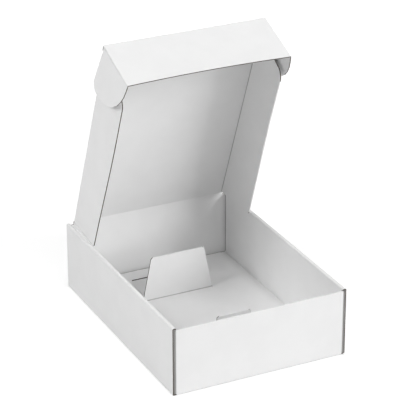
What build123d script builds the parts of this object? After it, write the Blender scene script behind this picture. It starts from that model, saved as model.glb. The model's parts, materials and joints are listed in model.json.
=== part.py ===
from build123d import *
import os
from math import cos, radians, sin

# Bottle shipping box: a tray with rolled side walls, a hinged lid with side flaps, a tuck flap
# with two hinged ears, and a loose insert with two tongues that are folded upright.
# Millimetres. The origin is the middle of the tray's underside, +Z is up and the front faces -Y.

# Sheet
board = 1.6  # thickness of the corrugated board
fold_radius = 1.9  # outer radius of a folded edge
layer_gap = 0.2  # air between layers that lie against each other
cut_gap = 0.5  # width of a cut between a flap and the sheet beside it
fold_root = 20.0  # stretch of the panel behind a fold that is drawn in the fold's section

# Tray
tray_width = 242.0  # over the two side walls
tray_depth = 330.0  # over the front and rear walls
wall_height = 94.0  # from the underside to the top of a side wall
front_drop = 3.0  # front wall's cut edge below the side walls' tops
side_setback = 0.4  # side wall's cut ends behind the faces of the front and rear walls
corner_radius = 3.2  # outer radius of the upright folds at the tray's corners
end_flap_length = 78.0  # flap of the front and rear walls, held inside a side wall
tab_width = 34.0  # tongue that locks an inner side panel into the base
tab_spread = 170.0  # distance between the two tabs of one panel
tab_recess = 0.4  # tab's end above the tray's underside
slot_clearance = 0.35  # room round a tab in its slot

# Lid
lid_open = 68.0  # degrees from closed
lid_length = 317.0  # from the rear crease to the front of the tuck flap
lid_clearance = 5.0  # between a closed side flap and the inner side panel
crease_clearance = 0.15  # between the two panels that meet at a working crease
flap_depth = 71.0
flap_rear_setback = 3.0  # side flap's start from the rear crease
flap_rear_taper = 23.0
flap_rear_radius = 6.0
flap_front_setback = 22.0  # side flap's end from the front crease
flap_front_taper = 12.0
flap_front_radius = 15.0
front_shoulder = 8.0  # stretch behind the front crease that is as wide as the ears

# Tuck flap
tuck_open = 90.0  # degrees from the lid's plane
tuck_depth = 77.0  # from the lid's outer face to the free edge
ear_clearance = 0.4  # between an ear and the lid's side flap
ear_length = 69.0
ear_root = 10.0  # straight part of an ear's lower edge
ear_shoulder_radius = 13.5
ear_relief = 2.5  # gap between an ear and the lid's crease
ear_flare = 6.8  # degrees that an ear of the open box springs out from square

# Insert
insert_side_gap = 7.0  # between the insert's edge and an inner side panel
insert_end_gap = 2.0  # between the insert's edge and the front or rear wall
insert_corner_radius = 4.0
rear_tongue_setback = 90.0  # upright face from the rear wall's face
rear_tongue_height = 65.0  # above the tray's underside
rear_tongue_top_width = 78.0
rear_tongue_base_width = 104.0
front_tongue_setback = 73.0  # upright face from the front wall's face
front_tongue_height = 53.0
front_tongue_top_width = 48.0
front_tongue_base_width = 60.0
tongue_corner_radius = 3.0

# Places that follow from the sizes above
mid = board / 2
side_half = tray_width / 2
front_face = -tray_depth / 2
rolled_width = 3 * board + 2 * layer_gap
inner_face = side_half - rolled_width
end_wall_height = wall_height - front_drop
end_flap_face = side_half - board - layer_gap
crease_gap = board / 2 + crease_clearance
lid_half = inner_face - lid_clearance
ear_face = lid_half + ear_clearance + board
ear_axis = ear_face - mid
lid_reach = lid_length - board / 2
tuck_reach = tuck_depth - board / 2
hinge_y = tray_depth / 2 - board / 2
hinge_z = wall_height - board / 2


def folded(*corners, outer_radius=fold_radius):
    """Section of a folded sheet whose middle line follows the corners."""
    return trace(FilletPolyline(*corners, radius=outer_radius - mid), line_width=board)


def block(low, high):
    """Box between two corners."""
    size = [b - a for a, b in zip(low, high)]
    return Pos(*low) * Box(*size, align=(Align.MIN, Align.MIN, Align.MIN))


def along_x(section, half_length):
    """Section drawn in Y and Z, drawn out along X to both sides."""
    return extrude(Plane.YZ * section, amount=half_length, both=True)


def along_y(section, half_length):
    """Section drawn in X and Z, drawn out along Y to both sides."""
    return extrude(Plane.XZ * section, amount=half_length, both=True)


def mirrored_x(part):
    """Part with its copy on the other side of the YZ plane."""
    return part + mirror(part, about=Plane.YZ)


# Tray: base and rolled side walls
def rolled_walls():
    """Base, outer side panels, narrow tops and inner panels, all one folded strip across X."""
    inner, outer = inner_face + mid, side_half - mid
    foot, top = board + layer_gap, wall_height - mid
    section = folded(
        (inner, foot),
        (inner, top),
        (outer, top),
        (outer, mid),
        (-outer, mid),
        (-outer, top),
        (-inner, top),
        (-inner, foot),
    )
    walls = along_y(section, tray_depth / 2 - corner_radius - layer_gap)
    foot_section = folded(
        (-outer, fold_root),
        (-outer, mid),
        (outer, mid),
        (outer, fold_root),
    )
    walls += along_y(foot_section, tray_depth / 2 - fold_radius)
    end_section = folded(
        (inner, wall_height - fold_radius - layer_gap),
        (inner, top),
        (outer, top),
        (outer, fold_radius),
    )
    return walls + mirrored_x(along_y(end_section, tray_depth / 2 - side_setback))


def tab_places():
    """Centres of the locking tabs along Y."""
    return [-tab_spread / 2, tab_spread / 2]


def tab(y):
    """Locking tab of the inner panel on the +X side."""
    low = (inner_face, y - tab_width / 2, tab_recess)
    high = (inner_face + board, y + tab_width / 2, board + 2 * layer_gap)
    return block(low, high)


def slot(y):
    """Slot in the base for the tab at y."""
    low = (inner_face - slot_clearance, y - tab_width / 2 - slot_clearance, -board)
    high = (inner_face + board + slot_clearance, y + tab_width / 2 + slot_clearance, board)
    return block(low, high)


# Tray: front and rear walls
def end_wall():
    """Front wall with its lower fold, its two corner folds and the flaps inside the side walls."""
    face = front_face + mid
    upright = folded((front_face + fold_root, mid), (face, mid), (face, end_wall_height))
    wall = along_x(upright, end_flap_face - corner_radius)
    corner = folded(
        (end_flap_face - fold_root, face),
        (end_flap_face - mid, face),
        (end_flap_face - mid, front_face + end_flap_length),
        outer_radius=corner_radius,
    )
    corner_foot = fold_radius + cut_gap
    flap = Pos(0, 0, corner_foot) * extrude(corner, amount=end_wall_height - corner_foot)
    return wall + mirrored_x(flap)


def rear_crease():
    """Raised middle of the rear wall, rounded about the lid's hinge line."""
    low = (-lid_half, hinge_y - board / 2, end_wall_height - board)
    riser = block(low, (lid_half, hinge_y + board / 2, hinge_z))
    bead = Pos(0, hinge_y, hinge_z) * Rot(0, 90, 0) * Cylinder(board / 2, 2 * lid_half)
    return riser + bead


def make_tray():
    """The whole tray, one sheet."""
    front = end_wall()
    tray = rolled_walls() + front + mirror(front, about=Plane.XZ) + rear_crease()
    for y in tab_places():
        tray -= mirrored_x(slot(y))
        tray += mirrored_x(tab(y))
    return tray


# Lid, drawn flat: Y runs from the hinge line to the front crease, Z is the outer normal
def flap_outline():
    """Side view of the lid's side flap and the strip of panel that carries it."""
    start = flap_rear_setback
    end = lid_reach - flap_front_setback
    low = mid - flap_depth
    shoulder = mid - fold_radius
    outline = Polyline(
        (start, board),
        (start, shoulder),
        (start + flap_rear_taper, low),
        (end - flap_front_taper, low),
        (end, shoulder),
        (end, board),
        close=True,
    )
    face = make_face(outline)
    lowest = face.vertices().group_by(Axis.Y)[0].sort_by(Axis.X)
    face = fillet(lowest[0], flap_rear_radius)
    lowest = face.vertices().group_by(Axis.Y)[0].sort_by(Axis.X)
    return fillet(lowest[-1], flap_front_radius)


def make_lid():
    """Lid panel, the bead at its front crease and its two side flaps."""
    middle = lid_half - fold_radius
    panel = block((-middle, crease_gap, -board / 2), (middle, lid_reach, board / 2))
    rear_end = flap_rear_setback - cut_gap
    front_start = lid_reach - flap_front_setback + cut_gap
    shoulder_start = lid_reach - front_shoulder
    panel += block((-lid_half, crease_gap, -board / 2), (lid_half, rear_end, board / 2))
    panel += block((-lid_half, front_start, -board / 2), (lid_half, lid_reach, board / 2))
    panel += block((-ear_face, shoulder_start, -board / 2), (ear_face, lid_reach, board / 2))
    panel += Pos(0, lid_reach, 0) * Rot(0, 90, 0) * Cylinder(board / 2, 2 * ear_face)
    strip = folded(
        (middle - fold_radius, 0),
        (lid_half - mid, 0),
        (lid_half - mid, mid - flap_depth),
    )
    flap = along_y(strip, lid_length) & along_x(flap_outline(), tray_width)
    return panel + mirrored_x(flap)


# Tuck flap and ears, drawn flat: Y runs from the tuck flap's hinge line to its free edge, Z is the
# tuck flap's outer normal
def make_tuck_flap():
    """Tuck flap with the beads of its ears' creases."""
    panel = block((-ear_axis, crease_gap, -board / 2), (ear_axis, tuck_reach, board / 2))
    length = tuck_reach - crease_gap
    bead = Pos(ear_axis, crease_gap + length / 2, 0) * Rot(90, 0, 0) * Cylinder(board / 2, length)
    return panel + mirrored_x(bead)


def ear_outline():
    """Side view of an ear: a rounded shoulder, then a long oval to the free edge."""
    top = -crease_gap
    back = mid - ear_length
    turn = ear_relief + ear_shoulder_radius
    root = mid - ear_root
    edges = [
        Line((ear_relief, top), (ear_relief, back + ear_shoulder_radius)),
        CenterArc((turn, back + ear_shoulder_radius), ear_shoulder_radius, 180, 90),
        EllipticalCenterArc(
            (turn, root),
            tuck_reach - turn,
            root - back,
            start_angle=270,
            arc_size=90,
        ),
        Line((tuck_reach, root), (tuck_reach, top)),
        Line((tuck_reach, top), (ear_relief, top)),
    ]
    return make_face(edges)


def make_ear():
    """Ear on the +X side, turned out about its crease."""
    return Pos(ear_axis, 0, 0) * Rot(0, -ear_flare, 0) * along_x(ear_outline(), mid)


# Insert: one sheet on the tray's base, with tongues cut from it and folded up
def tongue_outline(top_width, base_width, height):
    """Front view of a tongue, wider at its foot, with rounded upper corners."""
    face = make_face(
        Polyline(
            (-base_width / 2, 0),
            (base_width / 2, 0),
            (top_width / 2, height),
            (-top_width / 2, height),
            close=True,
        )
    )
    return fillet(face.vertices().group_by(Axis.Y)[-1], tongue_corner_radius)


def raised_tongue(setback, height, top_width, base_width, towards):
    """Tongue that stands at the setback from the end wall it faces, and the hole that it leaves.

    It faces the rear wall where towards is 1, and the front wall where it is -1.
    """
    section = folded((-fold_root, board + mid), (-mid, board + mid), (-mid, height))
    outline = tongue_outline(top_width, base_width, height)
    upright = along_x(section, base_width / 2) & along_y(outline, 2 * fold_root)
    reach = height - board
    flat = tongue_outline(top_width, base_width, reach)
    hole = Pos(0, -fold_radius, -board) * extrude(flat, amount=4 * board)
    if towards < 0:
        upright = mirror(upright, about=Plane.XZ)
        hole = mirror(hole, about=Plane.XZ)
    place = Pos(0, towards * (tray_depth / 2 - setback), 0)
    return place * upright, place * hole


def make_insert():
    """Base sheet of the insert with its two tongues."""
    half_x = inner_face - insert_side_gap
    half_y = tray_depth / 2 - board - insert_end_gap
    outline = RectangleRounded(2 * half_x, 2 * half_y, insert_corner_radius)
    sheet = Pos(0, 0, board) * extrude(outline, amount=board)
    tongues = [
        raised_tongue(
            rear_tongue_setback,
            rear_tongue_height,
            rear_tongue_top_width,
            rear_tongue_base_width,
            1,
        ),
        raised_tongue(
            front_tongue_setback,
            front_tongue_height,
            front_tongue_top_width,
            front_tongue_base_width,
            -1,
        ),
    ]
    for _, hole in tongues:
        sheet -= hole
    for upright, _ in tongues:
        sheet += upright
    return sheet


def turned(angle):
    """Y and Z shares of the outer normal of a panel opened by angle from lying closed."""
    return sin(radians(angle)), cos(radians(angle))


lid_up_y, lid_up_z = turned(lid_open)
lid_place = Location(
    Plane(origin=(0, hinge_y, hinge_z), x_dir=(-1, 0, 0), z_dir=(0, lid_up_y, lid_up_z))
)
tuck_up_z, tuck_up_y = turned(tuck_open - 90)
tuck_place = lid_place * Location(
    Plane(origin=(0, lid_reach, 0), x_dir=(1, 0, 0), z_dir=(0, tuck_up_y, tuck_up_z))
)

ear = make_ear()

parts = {
    "tray": make_tray(),
    "lid": lid_place * make_lid(),
    "tuck_flap": tuck_place * make_tuck_flap(),
    "ear_left": tuck_place * ear,
    "ear_right": tuck_place * mirror(ear, about=Plane.YZ),
    "insert": make_insert(),
}

os.makedirs("parts", exist_ok=True)
for name, shape in parts.items():
    export_step(shape, f"parts/{name}.step")
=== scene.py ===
"""Bottle shipping box of white corrugated board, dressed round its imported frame.

Every piece is cut flat from board, given its thickness, folded along its creases and set in its
place. Lengths are metres. The box stands on Z = 0 with its front wall towards -Y.
"""

from __future__ import annotations

import json
import logging
import math
from dataclasses import dataclass
from enum import Enum

import bmesh
import bpy
from bmesh.types import BMVert
from bpy.types import Material, NodeSocket, NodeTree
from mathutils import Matrix, Vector, noise

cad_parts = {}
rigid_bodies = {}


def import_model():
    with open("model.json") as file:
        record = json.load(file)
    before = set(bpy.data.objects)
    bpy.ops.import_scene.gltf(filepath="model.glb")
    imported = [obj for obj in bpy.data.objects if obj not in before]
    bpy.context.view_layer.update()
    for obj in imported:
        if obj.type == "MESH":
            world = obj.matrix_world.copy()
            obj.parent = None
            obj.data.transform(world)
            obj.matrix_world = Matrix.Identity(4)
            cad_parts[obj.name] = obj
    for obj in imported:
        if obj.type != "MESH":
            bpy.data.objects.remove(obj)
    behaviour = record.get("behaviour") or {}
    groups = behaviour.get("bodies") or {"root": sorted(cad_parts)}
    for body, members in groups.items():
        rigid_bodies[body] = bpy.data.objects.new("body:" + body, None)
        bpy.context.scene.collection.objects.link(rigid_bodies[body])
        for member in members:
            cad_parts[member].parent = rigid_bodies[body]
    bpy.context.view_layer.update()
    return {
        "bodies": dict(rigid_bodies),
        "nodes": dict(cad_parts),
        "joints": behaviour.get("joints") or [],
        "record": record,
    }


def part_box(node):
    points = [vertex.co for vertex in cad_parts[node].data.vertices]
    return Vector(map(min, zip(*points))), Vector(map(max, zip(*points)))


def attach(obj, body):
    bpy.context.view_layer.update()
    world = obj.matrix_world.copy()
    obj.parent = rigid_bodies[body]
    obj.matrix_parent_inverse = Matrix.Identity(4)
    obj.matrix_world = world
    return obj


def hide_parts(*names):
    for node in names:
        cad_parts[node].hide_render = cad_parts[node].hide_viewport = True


Colour = tuple[float, float, float, float]
Span = tuple[float, float]

SHEET_ATTRIBUTE = "sheet"
CREASE_ATTRIBUTE = "crease"
# Attribute of painted shade on the bends of scored folds.
PAINTED_SHADE_ATTRIBUTE = "painted_shade"
WHITE: Colour = (1.0, 1.0, 1.0, 1.0)
QUARTER_TURN = math.pi / 2
FLUTE_PITCH = 0.0034
TUCK_DEPTH = 0.077
MIDDLE = 0.5  # share of the board's thickness at its middle
FLOAT, VECTOR = "NodeSocketFloat", "NodeSocketVector"

log = logging.getLogger("bottle_box")


class Body(Enum):
    """Bodies of the frame that the pieces ride on."""

    TRAY = "tray"
    LID = "lid"
    TUCK_FLAP = "tuck_flap"
    EAR_LEFT = "ear_left"
    EAR_RIGHT = "ear_right"


class Axis(Enum):
    """Directions in a flat sheet, by the index of their coordinate."""

    ACROSS = 0
    ALONG = 1


class Side(Enum):
    """The two ways from the middle of a sheet along one axis."""

    LOW = -1.0
    HIGH = 1.0


class Surface(Enum):
    """Material slots of a piece of board."""

    LINER = 0
    CUT = 1


@dataclass(frozen=True)
class Board:
    """The corrugated board, and how finely its mesh is divided."""

    thickness: float = 0.0016
    fold_radius: float = 0.0019
    corner_radius: float = 0.0032
    layer_gap: float = 0.0002
    cut_gap: float = 0.0005
    kerf: float = 0.0003
    crease_clearance: float = 0.00015
    ear_clearance: float = 0.0004
    crease_reach: float = 0.004  # over which a crease's wear and painted shade fade out
    shade_start: float = 0.1  # share of a scored fold's bend where its painted shade starts
    cell: float = 0.012  # about the distance between dividing lines
    holding: float = 0.0008  # from a fold's ends to the dividing lines that hold them
    weld: float = 0.000002  # within which points are joined
    fold_steps: int = 6
    corner_steps: int = 8
    nose_steps: int = 5
    sharp_edge: float = 1.0  # angle in radians from which an edge is shaded sharp
    edge_slope: float = 0.5  # upward part of a normal, below which a face is a cut edge
    side_slope: float = 0.9  # sideways part of a normal, above which a bead's face is its cut side

    @property
    def fold_length(self) -> float:
        """Length of outer liner that a square fold takes up."""
        return self.fold_radius * QUARTER_TURN

    @property
    def hinge_gap(self) -> float:
        """Distance from a working crease's axis to the cut end of the next panel."""
        return self.thickness / 2 + self.crease_clearance


@dataclass(frozen=True)
class Sway:
    """How board sways inwards between its creases.

    The depth is the most that a panel sways and the wave is the size of its waves. They fade out
    over the rim, counted from the panel's outline.
    """

    depth: float
    wave: float
    rim: float


@dataclass(frozen=True)
class Crease:
    """A square fold of a flat sheet.

    The bend starts at `at` and turns what lies beyond it, towards `side`, up to the inner side,
    about the given outer radius. Only the named panels turn. A scored fold is wider, and its bend
    takes painted shade, for the shade that falls in its groove.
    """

    axis: Axis
    at: float
    side: Side
    panels: tuple[str, ...]
    radius: float
    scored_shade: bool = False

    @property
    def length(self) -> float:
        """Length of outer liner that the bend takes up."""
        return self.radius * QUARTER_TURN


@dataclass(frozen=True)
class Corner:
    """A corner of a panel in the flat sheet, with the radius that rounds it."""

    across: float
    along: float
    radius: float = 0.0


def ease(share: float) -> float:
    """Smooths a share between 0 and 1, so that it leaves and arrives gently."""
    return share * share * (3.0 - 2.0 * share)


class Sheet:
    """A sheet of board, drawn flat with its outer liner on Z = 0 and its inner side upwards."""

    def __init__(self, board: Board) -> None:
        """Starts an empty sheet.

        Args:
            board: The material that the sheet is cut from.
        """
        self.board = board
        self.bm = bmesh.new()
        self.panel_layer = self.bm.faces.layers.int.new("panel")
        self.flat_layer = self.bm.verts.layers.float_vector.new(SHEET_ATTRIBUTE)
        self.crease_layer = self.bm.verts.layers.float.new(CREASE_ATTRIBUTE)
        # Painted shade, kept for the bends of scored folds.
        self.painted_shade_layer = self.bm.verts.layers.float.new(PAINTED_SHADE_ATTRIBUTE)
        self.outlines: dict[str, list[Corner]] = {}
        self.creases: list[Crease] = []

    def panel(self, name: str, corners: list[Corner]) -> None:
        """Adds a convex panel to the flat sheet.

        Args:
            name: Name that creases use for the panel.
            corners: Its corners in order round the outline.
        """
        self.outlines[name] = corners
        verts = [self.bm.verts.new((c.across, c.along, 0.0)) for c in corners]
        face = self.bm.faces.new(verts)
        if face.normal.z > 0.0:
            face.normal_flip()
        places = [vert.co.copy() for vert in verts]
        for number, (vert, corner) in enumerate(zip(verts, corners)):
            if corner.radius > 0.0:
                before = places[number - 1] - places[number]
                after = places[(number + 1) % len(places)] - places[number]
                cut_back = corner.radius / math.tan(before.angle(after) / 2)
                self._bevel([vert], "VERTICES", cut_back, self.board.corner_steps)
        for face in self.bm.faces:
            if face[self.panel_layer] == 0:
                face[self.panel_layer] = len(self.outlines)

    def _bevel(self, geom: list, affect: str, offset: float, segments: int) -> None:
        """Rounds points or edges of the sheet."""
        bmesh.ops.bevel(self.bm, geom=geom, affect=affect, offset=offset, offset_type="OFFSET",
                        segments=segments, profile=0.5, clamp_overlap=False, material=-1)

    def rectangle(self, name: str, across: Span, along: Span, low_radius: float = 0.0,
                  high_radius: float = 0.0) -> None:
        """Adds a rectangular panel to the flat sheet.

        Args:
            name: Name that creases use for the panel.
            across: Its span across the sheet, in either order.
            along: Its span along the sheet, in either order.
            low_radius: Rounding of the two corners at the low end.
            high_radius: Rounding of the two corners at the high end.
        """
        left, right = sorted(across)
        low, high = sorted(along)
        corners = [
            Corner(left, low, low_radius),
            Corner(right, low, low_radius),
            Corner(right, high, high_radius),
            Corner(left, high, high_radius),
        ]
        self.panel(name, corners)

    def crease(self, axis: Axis, at: float, side: Side, *panels: str, scored_shade: bool = False) -> None:
        """Notes a fold, wider and with painted shade in its bend where it is scored. The outermost folds are
        noted first.
        """
        radius = self.board.corner_radius if scored_shade else self.board.fold_radius
        self.creases.append(Crease(axis, at, side, panels, radius, scored_shade))

    def _lines(self, axis: Axis) -> list[float]:
        """Works out where the flat sheet is divided along one axis.

        Args:
            axis: The direction that the lines count along.

        Returns:
            Coordinates of the dividing lines, in order.
        """
        board = self.board
        corners = [corner for outline in self.outlines.values() for corner in outline]
        places = [(corner.across, corner.along)[axis.value] for corner in corners]
        needed = set(places)
        extra = []
        for fold in self.creases:
            if fold.axis is axis:
                for step in range(board.fold_steps + 1):
                    needed.add(fold.at + fold.side.value * fold.length * step / board.fold_steps)
                for reach in (board.holding, board.crease_reach):
                    extra.append(fold.at - fold.side.value * reach)
                    extra.append(fold.at + fold.side.value * (fold.length + reach))
        low, high = min(places), max(places)
        count = max(1, round((high - low) / board.cell))
        extra += [low + (high - low) * step / count for step in range(1, count)]
        lines = sorted(needed)
        for place in extra:
            if low < place < high and min(abs(place - line) for line in lines) > board.holding / 2:
                lines.append(place)
        return sorted(lines)

    def cut(self) -> None:
        """Divides the flat sheet, joins its panels, thickens it and marks its cut edges."""
        for axis in Axis:
            normal = Vector((0.0, 0.0, 0.0))
            normal[axis.value] = 1.0
            for place in self._lines(axis):
                bmesh.ops.bisect_plane(
                    self.bm,
                    geom=self.bm.verts[:] + self.bm.edges[:] + self.bm.faces[:],
                    dist=self.board.weld,
                    plane_co=normal * place,
                    plane_no=normal,
                )
        bmesh.ops.remove_doubles(self.bm, verts=self.bm.verts[:], dist=self.board.weld)
        made = bmesh.ops.extrude_face_region(self.bm, geom=self.bm.faces[:])
        inner = [item for item in made["geom"] if isinstance(item, BMVert)]
        bmesh.ops.translate(self.bm, vec=(0.0, 0.0, self.board.thickness), verts=inner)
        bmesh.ops.recalc_face_normals(self.bm, faces=self.bm.faces[:])
        for face in self.bm.faces:
            face.smooth = True
            is_cut = abs(face.normal.z) < self.board.edge_slope
            face.material_index = (Surface.CUT if is_cut else Surface.LINER).value

    def line_ends(self, axis: Axis, *ends: float) -> None:
        """Covers cut ends with liner, where the blade or a crease has pressed them shut.

        Args:
            axis: The direction that the ends face.
            ends: Their places along it.
        """
        near = 2 * self.board.weld
        for face in self.bm.faces:
            places = [vert.co[axis.value] for vert in face.verts]
            if any(all(abs(place - end) < near for place in places) for end in ends):
                face.material_index = Surface.LINER.value

    def round_nose(self, axis: Axis, at: float) -> None:
        """Rounds a cut end into the half-round bead of a working crease.

        Args:
            axis: The direction that the end faces.
            at: The end's place along it.
        """
        board = self.board
        near = 2 * board.weld
        edges = []
        for edge in self.bm.edges:
            ends = [vert.co for vert in edge.verts]
            on_end = all(abs(co[axis.value] - at) < near for co in ends)
            if on_end and abs(ends[0].z - ends[1].z) < near:
                edges.append(edge)
        self._bevel(edges, "EDGES", board.thickness / 2, board.nose_steps)
        bmesh.ops.remove_doubles(self.bm, verts=self.bm.verts[:], dist=board.weld)
        start = abs(at) - (board.thickness / 2 + near)
        for face in self.bm.faces:
            is_side = abs(face.normal[1 - axis.value]) > board.side_slope
            root = min(math.copysign(1.0, at) * vert.co[axis.value] for vert in face.verts)
            if root > start and not is_side:
                face.material_index = Surface.LINER.value
                face.smooth = True

    def form(self, sway: Sway) -> None:
        """Notes where each point lies in the flat sheet, lets the panels sway and folds them.

        Args:
            sway: How the panels sway between their creases.
        """
        for vert in self.bm.verts:
            depth = vert.co.z / self.board.thickness
            vert[self.flat_layer] = Vector((vert.co.x, vert.co.y, depth))
        moved: set[BMVert] = set()
        for number, corners in enumerate(self.outlines.values(), start=1):
            verts = {
                vert
                for face in self.bm.faces
                if face[self.panel_layer] == number and face.material_index == Surface.LINER.value
                for vert in face.verts
            }
            for vert in verts - moved:
                flat = vert[self.flat_layer]
                share = ease(min(1.0, self._inset(corners, flat) / sway.rim))
                wave = noise.noise(Vector((flat.x, flat.y, float(number))) / sway.wave)
                vert.co.z += sway.depth * share * max(0.0, min(1.0, 0.5 + 0.5 * wave))
            moved |= verts
        for crease in self.creases:
            self._fold(crease)

    @staticmethod
    def _inset(corners: list[Corner], place: Vector) -> float:
        """Measures how far a point lies inside a convex outline.

        Args:
            corners: The outline.
            place: The point in the flat sheet.

        Returns:
            Distance to the nearest side.
        """
        least = math.inf
        for first, second in zip(corners, corners[1:] + corners[:1]):
            side = Vector((second.across - first.across, second.along - first.along))
            to_place = Vector((place.x - first.across, place.y - first.along))
            if side.length > 0.0:
                least = min(least, abs(side.cross(to_place)) / side.length)
        return least

    def _verts(self, panels: tuple[str, ...]) -> set[BMVert]:
        """Collects the points of the named panels."""
        numbers = {list(self.outlines).index(panel) + 1 for panel in panels}
        return {v for face in self.bm.faces if face[self.panel_layer] in numbers for v in face.verts}

    def _fold(self, crease: Crease) -> None:
        """Folds the sheet along a crease, and stores how near it each point lies and, on a scored fold, its
        painted shade.

        Args:
            crease: The fold.
        """
        rings: dict[float, list[BMVert]] = {}
        for vert in self._verts(crease.panels):
            beyond = crease.side.value * (vert[self.flat_layer][crease.axis.value] - crease.at)
            off = max(0.0, -beyond, beyond - crease.length)
            share = max(0.0, 1.0 - off / self.board.crease_reach)
            vert[self.crease_layer] = max(vert[self.crease_layer], share)
            # Past its start, a scored fold's bend takes painted shade.
            if crease.scored_shade and beyond > crease.length * self.board.shade_start:
                vert[self.painted_shade_layer] = share
            turn = min(beyond / crease.radius, QUARTER_TURN)
            if turn > 0.0:
                rings.setdefault(round(turn, 6), []).append(vert)
        for turn, ring in rings.items():
            self._turn(crease, turn, ring)

    def _turn(self, crease: Crease, turn: float, ring: list[BMVert]) -> None:
        """Turns one row of points about a crease.

        Args:
            crease: The fold.
            turn: Angle of this row, in radians.
            ring: Its points.
        """
        radius, side = crease.radius, crease.side.value
        back = Vector((0.0, 0.0, 0.0))
        back[crease.axis.value] = -side * radius * turn
        centre = Vector((0.0, 0.0, radius))
        centre[crease.axis.value] = crease.at
        way, about = (-side, "Y") if crease.axis is Axis.ACROSS else (side, "X")
        bmesh.ops.translate(self.bm, vec=back, verts=ring)
        bmesh.ops.rotate(self.bm, cent=centre, matrix=Matrix.Rotation(way * turn, 3, about), verts=ring)

    def lean(self, panel: str, side: Side, start: float, end: float, angle: float) -> None:
        """Twists a flap that is folded up, so that it leans outwards towards one end.

        Args:
            panel: The flap.
            side: The way that it leans across the sheet.
            start: Where the twist starts along the sheet.
            end: Where it is greatest.
            angle: Its greatest angle, in radians.
        """
        for vert in self._verts((panel,)):
            share = max(0.0, min(1.0, (vert.co.y - start) / (end - start)))
            height = max(0.0, vert.co.z - self.board.fold_radius)
            vert.co.x += side.value * height * math.tan(angle * ease(share))

    def bow(self, half: float, reach: float, depth: float) -> None:
        """Bows a panel's free edge outwards between its two sides.

        Args:
            half: Half the panel's width.
            reach: Distance from its crease to its free edge.
            depth: The bow in the middle of the free edge.
        """
        for vert in self.bm.verts:
            across = max(0.0, 1.0 - (vert.co.x / half) ** 2)
            vert.co.z -= depth * across * max(0.0, vert.co.y / reach) ** 2


class Tree:
    """Short calls for building a shader tree."""

    def __init__(self, tree: NodeTree) -> None:
        """Starts afresh on the node tree of a material, a world or a group."""
        self.tree = tree
        tree.nodes.clear()

    def join(self, target: NodeSocket, source: object) -> None:
        """Feeds an input socket from an output, or sets its value.

        Args:
            target: The input.
            source: An output socket, or a plain value.
        """
        if isinstance(source, NodeSocket):
            self.tree.links.new(source, target)
        else:
            target.default_value = source

    def node(self, kind: str, inputs: dict | None = None, **settings: object) -> bpy.types.Node:
        """Adds a node.

        Args:
            kind: Its type.
            inputs: Output sockets or plain values for its inputs, by their names or numbers.
            settings: Settings of the node by their names.

        Returns:
            The node.
        """
        made = self.tree.nodes.new(kind)
        for name, value in settings.items():
            setattr(made, name, value)
        for name, source in (inputs or {}).items():
            self.join(made.inputs[name], source)
        return made

    def effect(self, group: NodeTree, inputs: dict) -> bpy.types.NodeOutputs:
        """Places a node group and gives its outputs."""
        return self.node("ShaderNodeGroup", node_tree=group, inputs=inputs).outputs

    def math(self, operation: str, *inputs: object, clamp: bool = False) -> NodeSocket:
        """Adds a Math node and gives its output."""
        values = dict(enumerate(inputs))
        return self.node("ShaderNodeMath", values, operation=operation, use_clamp=clamp).outputs[0]

    def ramp(self, value: object, span: Span, to: Span = (0.0, 1.0)) -> NodeSocket:
        """Maps a value smoothly from one span to another."""
        values = dict(enumerate((value, *span, *to)))
        return self.node("ShaderNodeMapRange", values, interpolation_type="SMOOTHSTEP").outputs[0]

    def mix(self, factor: object, first: object, second: object) -> NodeSocket:
        """Mixes two colours, the second of them by the factor."""
        values = {"Factor": factor, 6: first, 7: second}
        return self.node("ShaderNodeMix", values, data_type="RGBA").outputs[2]

    def noise(self, vector: object, scale: object, detail: float) -> NodeSocket:
        """Adds a noise texture, whose output stays between 0 and 1."""
        values = {"Vector": vector, "Scale": scale, "Detail": detail}
        return self.node("ShaderNodeTexNoise", values).outputs[0]

    def attribute(self, name: str, output: str) -> NodeSocket:
        """Reads an attribute of the mesh."""
        return self.node("ShaderNodeAttribute", attribute_name=name).outputs[output]

    def shown(self) -> NodeSocket:
        """Tells the rays that show the background from those that only light the box.

        Returns:
            1 for camera, glossy and transmission rays, and 0 for the others.
        """
        rays = self.node("ShaderNodeLightPath").outputs
        direct = self.math("MAXIMUM", rays["Is Camera Ray"], rays["Is Glossy Ray"])
        return self.math("MAXIMUM", direct, rays["Is Transmission Ray"])


class Group(Tree):
    """A node group with named inputs and outputs."""

    def __init__(self, name: str, inputs: dict[str, str], outputs: tuple[str, ...]) -> None:
        """Makes the group and its sockets.

        Args:
            name: Name of the group.
            inputs: Socket types by input name.
            outputs: Names of the outputs, which are all values.
        """
        super().__init__(bpy.data.node_groups.new(name, "ShaderNodeTree"))
        for label, kind in inputs.items():
            self.tree.interface.new_socket(label, in_out="INPUT", socket_type=kind)
        for label in outputs:
            self.tree.interface.new_socket(label, in_out="OUTPUT", socket_type=FLOAT)
        self.source = self.node("NodeGroupInput").outputs
        self.target = self.node("NodeGroupOutput").inputs

    def flute_wave(self) -> tuple[NodeSocket, NodeSocket]:
        """Reads the flutes from the group's inputs Sheet and Pitch.

        Returns:
            The wave, from -1 to 1, and the depth in the board, from 0 to 1.
        """
        parts = self.node("ShaderNodeSeparateXYZ", {0: self.source["Sheet"]}).outputs
        turns = self.math("DIVIDE", parts["X"], self.source["Pitch"])
        return self.math("SINE", self.math("MULTIPLY", turns, math.tau)), parts["Z"]


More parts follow.
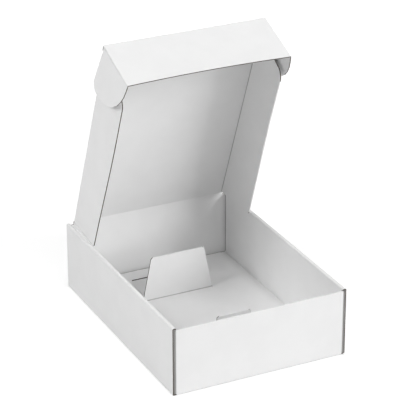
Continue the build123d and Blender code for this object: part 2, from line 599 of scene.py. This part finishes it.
class Finish(Tree):
    """A material whose pattern lies in Object coordinates."""

    def __init__(self, name: str) -> None:
        """Makes the material.

        Args:
            name: Its name.
        """
        self.material = bpy.data.materials.new(name)
        self.material.use_nodes = True
        super().__init__(self.material.node_tree)
        self.place = self.node("ShaderNodeTexCoord").outputs["Object"]

    def bump(self, height: object, relief: float, strength: float) -> NodeSocket:
        """Turns a height into a normal."""
        values = {"Height": height, "Distance": relief, "Strength": strength}
        return self.node("ShaderNodeBump", values).outputs["Normal"]

    def coat(self, inputs: dict[str, object]) -> Material:
        """Ends the material in a Principled BSDF with the given inputs.

        Args:
            inputs: Output sockets or plain values for the shader's inputs, by their names.

        Returns:
            The material.
        """
        shader = self.node("ShaderNodeBsdfPrincipled", inputs)
        self.node("ShaderNodeOutputMaterial", {"Surface": shader.outputs["BSDF"]})
        return self.material


def paper_fibre_group() -> NodeTree:
    """Builds the mottle and the fine fibres of a paper liner.

    Returns:
        A group with the outputs Mottle and Height, both from 0 to 1.
    """
    mottle_detail, mottle_span = 3.0, (0.32, 0.68)
    fibre_detail, fibre_span = 6.0, (0.3, 0.7)
    fibre_stretch = (1.0, 0.35, 1.0)
    inputs = {"Vector": VECTOR, "Mottle Scale": FLOAT, "Fibre Scale": FLOAT}
    group = Group("Paper Fibre", inputs, ("Mottle", "Height"))
    place = group.source["Vector"]
    broad = group.noise(place, group.source["Mottle Scale"], mottle_detail)
    stretched = group.node("ShaderNodeMapping", {"Vector": place, "Scale": fibre_stretch}).outputs[0]
    fibres = group.noise(stretched, group.source["Fibre Scale"], fibre_detail)
    group.join(group.target["Mottle"], group.ramp(broad, mottle_span))
    group.join(group.target["Height"], group.ramp(fibres, fibre_span))
    return group.tree


def flute_group() -> NodeTree:
    """Builds the faint washboard that the flutes leave in a liner.

    Returns:
        A group with the output Height, from 0 to 1.
    """
    group = Group("Flute Ripple", {"Sheet": VECTOR, "Pitch": FLOAT}, ("Height",))
    wave, _ = group.flute_wave()
    group.join(group.target["Height"], group.math("MULTIPLY_ADD", wave, 0.5, 0.5))
    return group.tree


def crease_wear_group() -> NodeTree:
    """Builds the wrinkles and the greyed high spots of a crease.

    Returns:
        A group with the outputs Wear and Height, both from 0 to 1.
    """
    wrinkle_detail, raised_span, near_span = 4.0, (0.4, 0.72), (0.15, 1.0)
    inputs = {"Vector": VECTOR, "Crease": FLOAT, "Scale": FLOAT}
    group = Group("Crease Wear", inputs, ("Wear", "Height"))
    wrinkles = group.noise(group.source["Vector"], group.source["Scale"], wrinkle_detail)
    raised = group.ramp(wrinkles, raised_span)
    near = group.ramp(group.source["Crease"], near_span)
    group.join(group.target["Wear"], group.math("MULTIPLY", near, raised))
    group.join(group.target["Height"], group.math("MULTIPLY", near, wrinkles))
    return group.tree


def fluted_core_group() -> NodeTree:
    """Builds the section of the board that a cut edge shows: two liners and the fluting between.

    Returns:
        A group with the outputs Liner and Paper, masks from 0 to 1.
    """
    wave_share = 0.85
    inputs = {"Sheet": VECTOR, "Pitch": FLOAT, "Liner Share": FLOAT, "Paper Share": FLOAT}
    group = Group("Fluted Core", inputs, ("Liner", "Paper"))
    wave, depth = group.flute_wave()
    off_middle = group.math("ABSOLUTE", group.math("SUBTRACT", depth, MIDDLE))
    rim = group.math("SUBTRACT", MIDDLE, group.source["Liner Share"])
    reach = group.math("MULTIPLY", rim, wave_share)
    off_wave = group.math("SUBTRACT", depth, group.math("MULTIPLY_ADD", wave, reach, MIDDLE))
    paper = group.math("LESS_THAN", group.math("ABSOLUTE", off_wave), group.source["Paper Share"])
    group.join(group.target["Liner"], group.math("GREATER_THAN", off_middle, rim))
    group.join(group.target["Paper"], paper)
    return group.tree


@dataclass(frozen=True)
class WhiteLiner:
    """White paper face of the board, with the wrinkles of its creases, and painted shade along its creases
    and in its scored folds.
    """

    fibre: NodeTree
    flutes: NodeTree
    creases: NodeTree
    bright: Colour = (0.835, 0.835, 0.835, 1.0)
    dull: Colour = (0.82, 0.82, 0.82, 1.0)
    worn: Colour = (0.74, 0.74, 0.735, 1.0)
    # The grey below is painted shade, towards which creases and scored folds darken.
    scored_shade: Colour = (0.36, 0.355, 0.35, 1.0)
    wear_share: float = 0.6
    crease_shade_share: float = 0.75
    crease_shade_span: Span = (0.7, 0.95)
    mottle_scale: float = 34.0
    fibre_scale: float = 900.0
    wrinkle_scale: float = 420.0
    relief: float = 0.00006
    strength: float = 0.8
    flute_relief: float = 0.05
    wrinkle_relief: float = 0.5
    roughness: Span = (0.72, 0.9)
    specular: float = 0.3

    def make(self) -> Material:
        """Builds the material.

        Returns:
            The material.
        """
        finish = Finish("white_liner")
        sheet = finish.attribute(SHEET_ATTRIBUTE, "Vector")
        crease = finish.attribute(CREASE_ATTRIBUTE, "Fac")
        scales = {"Mottle Scale": self.mottle_scale, "Fibre Scale": self.fibre_scale}
        fibre = finish.effect(self.fibre, {"Vector": finish.place, **scales})
        flutes = finish.effect(self.flutes, {"Sheet": sheet, "Pitch": FLUTE_PITCH})
        bends = {"Vector": finish.place, "Crease": crease, "Scale": self.wrinkle_scale}
        wrinkles = finish.effect(self.creases, bends)

        colour = finish.mix(fibre["Mottle"], self.dull, self.bright)
        wear = finish.math("MULTIPLY", wrinkles["Wear"], self.wear_share)
        colour = finish.mix(wear, colour, self.worn)
        depth = finish.node("ShaderNodeSeparateXYZ", {0: sheet}).outputs["Z"]
        # Painted shade: the inner side darkens along each crease, and scored folds darken through their
        # bends.
        crease_shade = finish.ramp(crease, self.crease_shade_span, (0.0, self.crease_shade_share))
        inner = finish.math("MULTIPLY", finish.math("GREATER_THAN", depth, MIDDLE), crease_shade)
        painted_shade = finish.math("MAXIMUM", inner, finish.attribute(PAINTED_SHADE_ATTRIBUTE, "Fac"), clamp=True)
        height = finish.math("MULTIPLY_ADD", flutes["Height"], self.flute_relief, fibre["Height"])
        height = finish.math("MULTIPLY_ADD", wrinkles["Height"], self.wrinkle_relief, height)
        return finish.coat({
            "Base Color": finish.mix(painted_shade, colour, self.scored_shade),
            "Roughness": finish.ramp(fibre["Height"], (0.0, 1.0), self.roughness),
            "Specular IOR Level": self.specular,
            "Normal": finish.bump(height, self.relief, self.strength),
        })


@dataclass(frozen=True)
class CutEdge:
    """Die-cut edge of the board, with the fluted core between the white liners and painted shade in the
    cavities of the fluting.
    """

    core: NodeTree
    fibre: NodeTree
    liner_share: float = 0.09
    paper_share: float = 0.10
    white: Colour = (0.70, 0.695, 0.685, 1.0)
    kraft: Colour = (0.20, 0.168, 0.138, 1.0)
    # The darkest colour is painted shade for the cavities between the flutes.
    cavity_shade: Colour = (0.040, 0.034, 0.029, 1.0)
    dust_share: float = 0.3
    # Dust darkens the edge in a mottle, partway towards that painted shade.
    dust_shade_share: float = 0.45
    mottle_scale: float = 300.0
    fibre_scale: float = 2600.0
    relief: float = 0.0003
    strength: float = 0.6
    roughness: Span = (0.85, 0.97)
    specular: float = 0.2

    def make(self) -> Material:
        """Builds the material.

        Returns:
            The material.
        """
        finish = Finish("cut_edge")
        sheet = finish.attribute(SHEET_ATTRIBUTE, "Vector")
        shares = {"Liner Share": self.liner_share, "Paper Share": self.paper_share}
        core = finish.effect(self.core, {"Sheet": sheet, "Pitch": FLUTE_PITCH, **shares})
        scales = {"Mottle Scale": self.mottle_scale, "Fibre Scale": self.fibre_scale}
        fibre = finish.effect(self.fibre, {"Vector": finish.place, **scales})

        # The cavities between the fluting's paper take painted shade.
        inside = finish.mix(core["Paper"], self.cavity_shade, self.kraft)
        colour = finish.mix(core["Liner"], inside, self.white)
        # The dust colour mixes kraft with some of the painted cavity shade.
        dust_and_shade = finish.mix(self.dust_shade_share, self.kraft, self.cavity_shade)
        dusty = finish.math("MULTIPLY", fibre["Mottle"], self.dust_share)
        height = finish.math("MAXIMUM", core["Liner"], core["Paper"])
        return finish.coat({
            "Base Color": finish.mix(dusty, colour, dust_and_shade),
            "Roughness": finish.ramp(fibre["Height"], (0.0, 1.0), self.roughness),
            "Specular IOR Level": self.specular,
            "Normal": finish.bump(height, self.relief, self.strength),
        })


@dataclass(frozen=True)
class Frame:
    """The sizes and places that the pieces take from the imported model."""

    half_width: float
    half_depth: float
    wall_height: float
    ear_face: float
    lid_hinge: Vector
    tuck_hinge: Vector
    insert_low: Vector
    insert_high: Vector

    @classmethod
    def read(cls, frame: dict) -> Frame:
        """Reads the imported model.


        Returns:
            The sizes and places.
        """
        tray_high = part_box("tray")[1]
        lid_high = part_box("lid")[1]
        insert_low, insert_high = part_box("insert")
        hinges = {joint["name"]: Vector(joint["pos_m"]) for joint in frame["joints"]}
        return cls(
            half_width=tray_high.x,
            half_depth=tray_high.y,
            wall_height=tray_high.z,
            ear_face=lid_high.x,
            lid_hinge=hinges["lid_hinge"],
            tuck_hinge=hinges["tuck_hinge"],
            insert_low=insert_low,
            insert_high=insert_high,
        )

    @property
    def lid_along(self) -> Vector:
        """Direction from the rear crease to the front crease."""
        return (self.tuck_hinge - self.lid_hinge).normalized()

    @property
    def lid_reach(self) -> float:
        """Distance between the lid's two creases."""
        return (self.tuck_hinge - self.lid_hinge).length

    @property
    def lid_inward(self) -> Vector:
        """Normal of the lid's inner face."""
        return Vector((1.0, 0.0, 0.0)).cross(self.lid_along)


@dataclass
class Part:
    """A part of the box that is folded from one sheet, with one finish for each Surface."""

    frame: Frame
    board: Board
    finishes: list[Material]

    @property
    def lid_half(self) -> float:
        """Half the width of the lid and of the crease that carries it."""
        return self.frame.ear_face - self.board.ear_clearance - self.board.thickness

    def place(self, sheet: Sheet, node: str, body: Body, origin: Vector,
              along: Vector = Vector((0.0, 1.0, 0.0)), inward: Vector = Vector((0.0, 0.0, 1.0))) -> None:
        """Turns a folded sheet into a finished piece, sets it in the frame and reports it.

        Args:
            sheet: The folded sheet.
            node: The node that it stands for.
            body: The body that carries it.
            origin: Where the sheet's origin goes.
            along: Direction of the sheet's second axis.
            inward: Normal of the sheet's inner face.
        """
        bm = sheet.bm
        turn = Matrix((along.cross(inward), along, inward)).transposed().to_4x4()
        bmesh.ops.transform(bm, matrix=Matrix.Translation(origin) @ turn, verts=bm.verts[:])
        for edge in bm.edges:
            if len(edge.link_faces) == 2:
                first, second = edge.link_faces
                alike = first.material_index == second.material_index
                edge.smooth = alike and edge.calc_face_angle() < self.board.sharp_edge
        mesh = bpy.data.meshes.new(f"{node}_sheet")
        bm.to_mesh(mesh)
        bm.free()
        for finish in self.finishes:
            mesh.materials.append(finish)
        piece = bpy.data.objects.new(f"{node}_sheet", mesh)
        bpy.context.scene.collection.objects.link(piece)
        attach(piece, body.value)
        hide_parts(node)
        log.info("%s: %d faces, rides on %s", piece.name, len(mesh.polygons), body.value)


@dataclass
class Tray(Part):
    """Base, rolled side walls, front and rear walls and the crease that carries the lid."""

    front_drop: float = 0.003
    side_setback: float = 0.0004
    end_flap_length: float = 0.078
    tab_width: float = 0.034
    tab_spread: float = 0.170
    tab_recess: float = 0.0004
    slot_clearance: float = 0.00035
    sway: Sway = Sway(0.00015, 0.09, 0.03)

    @property
    def rolled_width(self) -> float:
        """Thickness of a rolled side wall."""
        return 3 * self.board.thickness + 2 * self.board.layer_gap

    @property
    def tab_places(self) -> Span:
        """Middles of the two tabs of an inner side panel."""
        return (-self.tab_spread / 2, self.tab_spread / 2)

    def _base(self, sheet: Sheet) -> None:
        """Draws the base with the slots that the tabs lock into.

        Args:
            sheet: The flat tray.
        """
        board, frame = self.board, self.frame
        edge = frame.half_width - board.fold_radius
        end = frame.half_depth - board.fold_radius
        slot_near = frame.half_width - self.rolled_width - self.slot_clearance
        slot_far = slot_near + board.thickness + 2 * self.slot_clearance
        slot_half = self.tab_width / 2 + self.slot_clearance
        rows = [-end]
        for middle in self.tab_places:
            rows += [middle - slot_half, middle + slot_half]
        rows.append(end)
        columns = [-edge, -slot_far, -slot_near, slot_near, slot_far, edge]
        for row, along in enumerate(zip(rows, rows[1:])):
            for column, across in enumerate(zip(columns, columns[1:])):
                is_slot = row % 2 == 1 and column % 2 == 1
                if not is_slot:
                    sheet.rectangle(f"base_{row}_{column}", across, along)

    def _side(self, sheet: Sheet, side: Side) -> None:
        """Draws a rolled side wall: outer panel, narrow top, inner panel and tabs.

        Args:
            sheet: The flat tray.
            side: Which side it is on.
        """
        board, frame = self.board, self.frame
        name, way = side.name.lower(), side.value
        bend = board.fold_length
        start = frame.half_width - board.fold_radius
        foot = board.thickness + board.layer_gap
        upright = frame.wall_height - 2 * board.fold_radius
        top = start + bend + upright
        spine = top + bend + self.rolled_width - 2 * board.fold_radius
        brow = spine + bend + board.layer_gap
        end = spine + bend + frame.wall_height - board.fold_radius - foot
        short = frame.half_depth - board.fold_radius
        shorter = frame.half_depth - board.corner_radius - board.layer_gap
        long = frame.half_depth - self.side_setback
        strips = {
            f"{name}_root": (start, start + bend, -short, short),
            f"{name}_outer": (start + bend, top, -long, long),
            f"{name}_spine": (top, brow, -long, long),
            f"{name}_inner": (brow, end, -shorter, shorter),
        }
        for number, middle in enumerate(self.tab_places):
            span = (middle - self.tab_width / 2, middle + self.tab_width / 2)
            strips[f"{name}_tab_{number}"] = (end, end + foot - self.tab_recess, *span)
        for strip, (near, far, front, rear) in strips.items():
            sheet.rectangle(strip, (way * near, way * far), (front, rear))
        for at in (spine, top, start):
            sheet.crease(Axis.ACROSS, way * at, side, *strips)

    def _end(self, sheet: Sheet, side: Side) -> None:
        """Draws the front or rear wall with the flaps that lie inside the side walls.

        Args:
            sheet: The flat tray.
            side: Low for the front wall, high for the rear wall.
        """
        board, frame, way = self.board, self.frame, side.value
        name = "front" if side is Side.LOW else "rear"
        start = frame.half_depth - board.fold_radius
        rise = start + board.fold_length
        foot = rise + board.cut_gap
        top = rise + frame.wall_height - self.front_drop - board.fold_radius
        half = frame.half_width - board.thickness - board.layer_gap - board.corner_radius
        flap_end = half + board.corner_radius * QUARTER_TURN + self.end_flap_length - board.corner_radius
        wall = (way * foot, way * top)
        panels = [f"{name}_root", f"{name}_wall"]
        sheet.rectangle(panels[0], (-half, half), (way * start, way * foot))
        sheet.rectangle(panels[1], (-half, half), wall)
        for flap_side in Side:
            flap = f"{name}_flap_{flap_side.name.lower()}"
            corner = flap_side.value * half
            sheet.rectangle(flap, (corner, flap_side.value * flap_end), wall)
            # The corner folds are scored, and their bends take painted shade.
            sheet.crease(Axis.ACROSS, corner, flap_side, flap, scored_shade=True)
            panels.append(flap)
        if side is Side.HIGH:
            sheet.rectangle("riser", (-self.lid_half, self.lid_half), (top, top + self.front_drop))
            panels.append("riser")
        sheet.crease(Axis.ALONG, way * start, side, *panels)

    def build(self) -> None:
        """Cuts, folds and places the tray."""
        board, frame = self.board, self.frame
        sheet = Sheet(board)
        self._base(sheet)
        for side in Side:
            self._side(sheet, side)
            self._end(sheet, side)
        sheet.cut()
        rim = frame.half_depth - board.fold_radius + board.fold_length
        rim += frame.wall_height - board.fold_radius
        sheet.line_ends(Axis.ALONG, self.front_drop - rim)
        sheet.round_nose(Axis.ALONG, rim)
        sheet.form(self.sway)
        self.place(sheet, "tray", Body.TRAY, Vector((0.0, 0.0, 0.0)))


@dataclass
class Lid(Part):
    """Lid panel with its two side flaps and the bead of its front crease."""

    flap_depth: float = 0.071
    rear_setback: float = 0.003
    rear_taper: float = 0.023
    rear_radius: float = 0.006
    front_setback: float = 0.022
    front_taper: float = 0.012
    front_radius: float = 0.015
    shoulder: float = 0.008
    lean_start: float = 0.222
    flap_lean: float = math.radians(3.3)
    sway: Sway = Sway(0.0006, 0.13, 0.04)

    def build(self) -> None:
        """Cuts, folds and places the lid."""
        board, frame, lid_half = self.board, self.frame, self.lid_half
        reach = frame.lid_reach
        crease = lid_half - board.fold_radius
        rear, front = self.rear_setback, reach - self.front_setback
        rear_cut, front_cut = rear - board.cut_gap, front + board.cut_gap
        wide, nose = reach - self.shoulder, reach + board.thickness / 2
        strips = {
            "rear_strip": (lid_half, board.hinge_gap, rear_cut),
            "panel_rear": (crease, rear_cut, rear),
            "panel": (crease, rear, front),
            "panel_front": (crease, front, front_cut),
            "front_strip": (lid_half, front_cut, wide),
            "shoulders": (frame.ear_face, wide, nose),
        }
        sheet = Sheet(board)
        for strip, (half, low, high) in strips.items():
            sheet.rectangle(strip, (-half, half), (low, high))
        root = crease + board.fold_length
        edge = root + self.flap_depth - board.fold_radius
        for side in Side:
            way = side.value
            panels = (f"{side.name.lower()}_root", f"{side.name.lower()}_flap")
            sheet.rectangle(panels[0], (way * crease, way * root), (rear, front))
            corners = [
                Corner(way * root, rear),
                Corner(way * edge, rear + self.rear_taper, self.rear_radius),
                Corner(way * edge, front - self.front_taper, self.front_radius),
                Corner(way * root, front),
            ]
            sheet.panel(panels[1], corners)
            sheet.crease(Axis.ACROSS, way * crease, side, *panels)
        sheet.cut()
        sheet.line_ends(Axis.ALONG, board.hinge_gap)
        sheet.line_ends(Axis.ACROSS, edge, frame.ear_face, -frame.ear_face)
        sheet.round_nose(Axis.ALONG, nose)
        sheet.form(self.sway)
        for side in Side:
            sheet.lean(f"{side.name.lower()}_flap", side, self.lean_start, rear, self.flap_lean)
        origin = frame.lid_hinge - frame.lid_inward * board.thickness / 2
        self.place(sheet, "lid", Body.LID, origin, frame.lid_along, frame.lid_inward)


@dataclass
class TuckFlap(Part):
    """Tuck flap, with a bead at each side where an ear turns."""

    free_bow: float = 0.0028
    sway: Sway = Sway(0.0003, 0.1, 0.03)

    def build(self) -> None:
        """Cuts, rounds and places the tuck flap."""
        board, frame = self.board, self.frame
        reach = TUCK_DEPTH - board.thickness / 2
        half = frame.ear_face
        sheet = Sheet(board)
        sheet.rectangle("panel", (-half, half), (board.hinge_gap, reach))
        sheet.cut()
        sheet.line_ends(Axis.ALONG, board.hinge_gap)
        for side in Side:
            sheet.round_nose(Axis.ACROSS, side.value * half)
        sheet.form(self.sway)
        sheet.bow(half, reach, self.free_bow)
        inward = -frame.lid_along
        origin = frame.tuck_hinge - inward * board.thickness / 2
        self.place(sheet, "tuck_flap", Body.TUCK_FLAP, origin, frame.lid_inward, inward)


@dataclass
class Ear(Part):
    """An ear of the tuck flap, sprung out a little from beside the lid's side flap."""

    side: Side
    length: float = 0.065
    root: float = 0.010
    relief: float = 0.0025
    shoulder_radius: float = 0.0135
    flare: float = math.radians(6.8)
    sway: Sway = Sway(0.0003, 0.1, 0.03)

    def build(self) -> None:
        """Cuts and places the ear."""
        board, frame, way = self.board, self.frame, self.side.value
        reach = TUCK_DEPTH - board.thickness / 2
        near = way * board.hinge_gap
        tip = way * (self.length - board.thickness / 2)
        sheet = Sheet(board)
        corners = [
            Corner(near, self.relief),
            Corner(tip, self.relief, self.shoulder_radius),
            Corner(tip, reach, self.length - self.root),
            Corner(near, reach),
        ]
        sheet.panel("ear", corners)
        sheet.cut()
        sheet.line_ends(Axis.ACROSS, near)
        sheet.form(self.sway)
        outward = Vector((way, 0.0, 0.0))
        inward = -outward * math.cos(self.flare) - frame.lid_along * math.sin(self.flare)
        axis = frame.tuck_hinge + outward * (frame.ear_face - board.thickness / 2)
        origin = axis - inward * board.thickness / 2
        body = Body.EAR_LEFT if self.side is Side.LOW else Body.EAR_RIGHT
        self.place(sheet, body.value, body, origin, frame.lid_inward, inward)


@dataclass(frozen=True)
class Tongue:
    """A tongue cut from the insert and folded up, at its setback from the wall on its side."""

    name: str
    side: Side
    setback: float
    height: float
    top_width: float
    base_width: float
    corner_radius: float = 0.003


@dataclass
class Insert(Part):
    """Loose sheet on the tray's base, with two tongues cut from it and folded upright."""

    corner_radius: float = 0.004
    sway: Sway = Sway(0.0004, 0.1, 0.04)
    tongues: tuple[Tongue, ...] = (
        Tongue("front_tongue", Side.LOW, 0.073, 0.053, 0.048, 0.060),
        Tongue("rear_tongue", Side.HIGH, 0.090, 0.065, 0.078, 0.104),
    )

    def build(self) -> None:
        """Cuts, folds and places the insert."""
        board, frame = self.board, self.frame
        half, front = frame.insert_high.x, frame.insert_low.y
        sheet = Sheet(board)
        for number, tongue in enumerate(self.tongues):
            fold = tongue.side.value * (frame.half_depth - tongue.setback - board.fold_radius)
            length = tongue.height - frame.insert_low.z - board.fold_radius + board.fold_length
            hole_end = fold + tongue.side.value * (length + board.kerf)
            near, far = sorted((fold, hole_end))
            rounding = self.corner_radius if number == 0 else 0.0
            sheet.rectangle(f"row_{number}", (-half, half), (front, near), low_radius=rounding)
            self._tongue(sheet, tongue, fold, hole_end)
            front = far
        rear = (front, frame.insert_high.y)
        sheet.rectangle("row_rear", (-half, half), rear, high_radius=self.corner_radius)
        sheet.cut()
        tips = [sheet.outlines[tongue.name][-1].along for tongue in self.tongues]
        sheet.line_ends(Axis.ALONG, *tips)
        sheet.form(self.sway)
        self.place(sheet, "insert", Body.TRAY, Vector((0.0, 0.0, frame.insert_low.z)))

    def _tongue(self, sheet: Sheet, tongue: Tongue, fold: float, hole_end: float) -> None:
        """Draws a tongue in its hole, and the sheet on both sides of the hole.

        Args:
            sheet: The flat insert.
            tongue: The tongue.
            fold: Where its fold starts.
            hole_end: Where its hole ends.
        """
        half, kerf = self.frame.insert_high.x, self.board.kerf
        base, top = tongue.base_width / 2, tongue.top_width / 2
        for side in Side:
            way = side.value
            outline = ((way * base, fold), (way * half, fold), (way * half, hole_end), (way * top, hole_end))
            corners = [Corner(*place) for place in outline]
            sheet.panel(f"{tongue.name}_beside_{side.name.lower()}", corners)
        tip = hole_end - tongue.side.value * kerf
        corners = [
            Corner(kerf - base, fold),
            Corner(base - kerf, fold),
            Corner(top - kerf, tip, tongue.corner_radius),
            Corner(kerf - top, tip, tongue.corner_radius),
        ]
        sheet.panel(tongue.name, corners)
        sheet.crease(Axis.ALONG, fold, tongue.side, tongue.name)


@dataclass(frozen=True)
class Softbox:
    """A large soft lamp that looks at the box."""

    name: str
    place: tuple[float, float, float]
    power: float
    size: float = 1.8

    def make(self, aim: Vector) -> None:
        """Hangs the lamp.

        Args:
            aim: Point that it looks at.
        """
        data = bpy.data.lights.new(self.name, "AREA")
        data.shape = "SQUARE"
        data.size = self.size
        data.energy = self.power
        lamp = bpy.data.objects.new(self.name, data)
        lamp.location = self.place
        lamp.rotation_euler = (aim - Vector(self.place)).to_track_quat("-Z", "Y").to_euler()
        bpy.context.scene.collection.objects.link(lamp)


@dataclass
class Studio:
    """White floor, soft light and the camera at the photograph's angle."""

    aim: tuple[float, float, float] = (0.0, 0.02, 0.15)
    floor_size: float = 30.0
    floor_drop: float = 0.0001
    floor_colour: Colour = (0.8, 0.8, 0.8, 1.0)
    floor_roughness: float = 0.9
    floor_specular: float = 0.1
    floor_glow: float = 0.37
    glow_span: Span = (0.5, 3.0)
    world_strength: float = 0.165
    camera_place: tuple[float, float, float] = (-1.08274, -2.20760, 1.31547)
    camera_azimuth: float = math.radians(-26.304)
    camera_elevation: float = math.radians(25.144)
    camera_lens: float = 183.41
    camera_clip: Span = (0.01, 100.0)
    softboxes: tuple[Softbox, ...] = (
        Softbox("front_softbox", (0.0, -2.6, 2.4), 16.5),
        Softbox("right_softbox", (2.3, -2.6, 1.5), 83.0),
        Softbox("left_softbox", (-2.8, 0.0, 2.2), 56.0),
        Softbox("top_softbox", (0.0, -0.3, 3.6), 24.0),
        Softbox("rear_softbox", (0.0, 2.8, 1.0), 23.0),
    )

    def _lay_floor(self) -> None:
        """Lays the floor, whose glow makes it white and grows with the distance."""
        bm = bmesh.new()
        bmesh.ops.create_grid(bm, x_segments=1, y_segments=1, size=self.floor_size / 2)
        bmesh.ops.translate(bm, vec=(0.0, 0.0, -self.floor_drop), verts=bm.verts[:])
        mesh = bpy.data.meshes.new("floor")
        bm.to_mesh(mesh)
        bm.free()
        finish = Finish("floor_white")
        away = finish.node("ShaderNodeVectorMath", {0: finish.place}, operation="LENGTH")
        glow = finish.ramp(away.outputs["Value"], self.glow_span, (self.floor_glow, 1.0))
        mesh.materials.append(finish.coat({
            "Base Color": self.floor_colour,
            "Roughness": self.floor_roughness,
            "Specular IOR Level": self.floor_specular,
            "Emission Color": WHITE,
            "Emission Strength": finish.math("MULTIPLY", finish.shown(), glow),
        }))
        floor = bpy.data.objects.new("floor", mesh)
        bpy.context.scene.collection.objects.link(floor)

    def _make_world(self) -> None:
        """Sets the even light from all round, white where the camera sees it."""
        world = bpy.data.worlds.new("studio")
        world.use_nodes = True
        bpy.context.scene.world = world
        tree = Tree(world.node_tree)
        light, white = (
            tree.node("ShaderNodeBackground", {"Color": WHITE, "Strength": strength}).outputs[0]
            for strength in (self.world_strength, 1.0)
        )
        choice = tree.node("ShaderNodeMixShader", {0: tree.shown(), 1: light, 2: white})
        tree.node("ShaderNodeOutputWorld", {"Surface": choice.outputs[0]})

    def _set_camera(self) -> None:
        """Sets up the camera."""
        data = bpy.data.cameras.new("camera")
        data.lens = self.camera_lens
        data.clip_start, data.clip_end = self.camera_clip
        camera = bpy.data.objects.new("camera", data)
        camera.location = self.camera_place
        camera.rotation_euler = (QUARTER_TURN - self.camera_elevation, 0.0, self.camera_azimuth)
        bpy.context.scene.collection.objects.link(camera)
        bpy.context.scene.camera = camera

    def build(self) -> None:
        """Makes the whole studio."""
        self._lay_floor()
        self._make_world()
        for softbox in self.softboxes:
            softbox.make(Vector(self.aim))
        self._set_camera()
        bpy.context.scene.view_settings.view_transform = "Standard"
        log.info("studio: %d softboxes", len(self.softboxes))


def main() -> None:
    """Builds the box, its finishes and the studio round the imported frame."""
    logging.basicConfig(level=logging.INFO, format="%(name)s: %(message)s")
    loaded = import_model()
    frame = Frame.read(loaded)
    board = Board()

    fibre = paper_fibre_group()
    liner = WhiteLiner(fibre, flute_group(), crease_wear_group()).make()
    cut = CutEdge(fluted_core_group(), fibre).make()
    finishes = [liner, cut]

    Tray(frame, board, finishes).build()
    Lid(frame, board, finishes).build()
    TuckFlap(frame, board, finishes).build()
    for side in Side:
        Ear(frame, board, finishes, side).build()
    Insert(frame, board, finishes).build()
    Studio().build()


if __name__ == "__main__":
    main()
